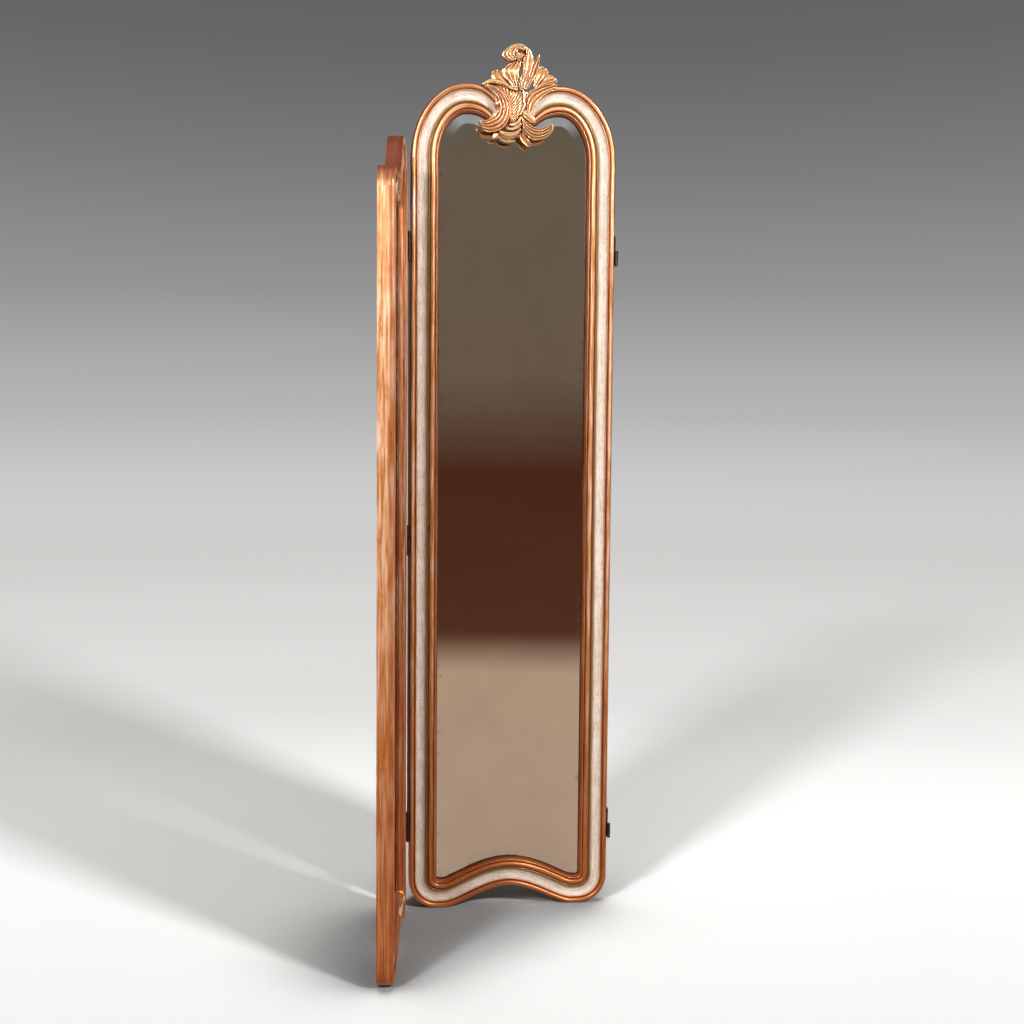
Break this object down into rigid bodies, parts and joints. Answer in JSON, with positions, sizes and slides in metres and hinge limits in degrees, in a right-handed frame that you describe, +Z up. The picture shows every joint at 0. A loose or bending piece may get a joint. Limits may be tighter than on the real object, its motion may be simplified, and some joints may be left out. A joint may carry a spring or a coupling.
{
  "type": "folding dressing mirror",
  "caption": "Folding floor dressing mirror: a tall moulded gilt and off-white frame with a carved rococo crest, and a lower wing panel hinged to its side.",
  "frame": {"origin": "the middle of the footprint's box, on the floor, with the wing at its rest angle", "axes": "+Z up, the longest extent; the centre panel faces -Y and runs along X; the wing is on its -X side"},
  "size_m": [0.5198, 0.4646, 1.8314],
  "materials": {
    "gilt_frame": "gilt over red bole, with an off-white painted cove",
    "carved_gilt": "carved wood, gilt over red bole",
    "mirror_glass": "silvered glass, lightly aged",
    "backboard": "stained plywood",
    "dowel": "plain beech",
    "packing_strip": "dark stained wood",
    "hinge": "black japanned steel",
    "steel": "dull steel"
  },
  "bodies": {
    "centre_panel": {"bottom_hinge_centre_leaf": "hinge", "bottom_hinge_centre_leaf_lower_screw": "steel", "bottom_hinge_centre_leaf_middle_screw": "steel", "bottom_hinge_centre_leaf_upper_screw": "steel", "bottom_right_half_hinge": "hinge", "bottom_right_half_hinge_lower_screw": "steel", "bottom_right_half_hinge_middle_screw": "steel", "bottom_right_half_hinge_upper_screw": "steel", "carved_crest": "carved_gilt", "centre_backboard": "backboard", "centre_bottom_rail": "gilt_frame", "centre_left_stile": "gilt_frame", "centre_lower_left_stile_dowel": "dowel", "centre_lower_right_stile_dowel": "dowel", "centre_mirror_glass": "mirror_glass", "centre_right_stile": "gilt_frame", "centre_top_rail": "gilt_frame", "centre_upper_left_stile_dowel": "dowel", "centre_upper_right_stile_dowel": "dowel", "crest_left_screw": "steel", "crest_right_screw": "steel", "hinge_packing_strip": "packing_strip", "middle_hinge_centre_leaf": "hinge", "middle_hinge_centre_leaf_lower_screw": "steel", "middle_hinge_centre_leaf_middle_screw": "steel", "middle_hinge_centre_leaf_upper_screw": "steel", "top_hinge_centre_leaf": "hinge", "top_hinge_centre_leaf_lower_screw": "steel", "top_hinge_centre_leaf_middle_screw": "steel", "top_hinge_centre_leaf_upper_screw": "steel", "top_right_half_hinge": "hinge", "top_right_half_hinge_lower_screw": "steel", "top_right_half_hinge_middle_screw": "steel", "top_right_half_hinge_upper_screw": "steel"},
    "left_wing": {"bottom_hinge_pin": "steel", "bottom_hinge_wing_leaf": "hinge", "bottom_hinge_wing_leaf_lower_screw": "steel", "bottom_hinge_wing_leaf_middle_screw": "steel", "bottom_hinge_wing_leaf_upper_screw": "steel", "middle_hinge_pin": "steel", "middle_hinge_wing_leaf": "hinge", "middle_hinge_wing_leaf_lower_screw": "steel", "middle_hinge_wing_leaf_middle_screw": "steel", "middle_hinge_wing_leaf_upper_screw": "steel", "top_hinge_pin": "steel", "top_hinge_wing_leaf": "hinge", "top_hinge_wing_leaf_lower_screw": "steel", "top_hinge_wing_leaf_middle_screw": "steel", "top_hinge_wing_leaf_upper_screw": "steel", "wing_backboard": "backboard", "wing_bottom_rail": "gilt_frame", "wing_free_stile": "gilt_frame", "wing_hinge_stile": "gilt_frame", "wing_lower_free_stile_dowel": "dowel", "wing_lower_hinge_stile_dowel": "dowel", "wing_mirror_glass": "mirror_glass", "wing_top_rail": "gilt_frame", "wing_upper_free_stile_dowel": "dowel", "wing_upper_hinge_stile_dowel": "dowel"}
  },
  "joints": [
    {"name": "wing_swing", "type": "hinge", "parent": "centre_panel", "child": "left_wing", "pos_m": [-0.18014, 0.19771, 0.796], "axis": [0, 0, 1], "range_deg": [-84, 94]}
  ]
}
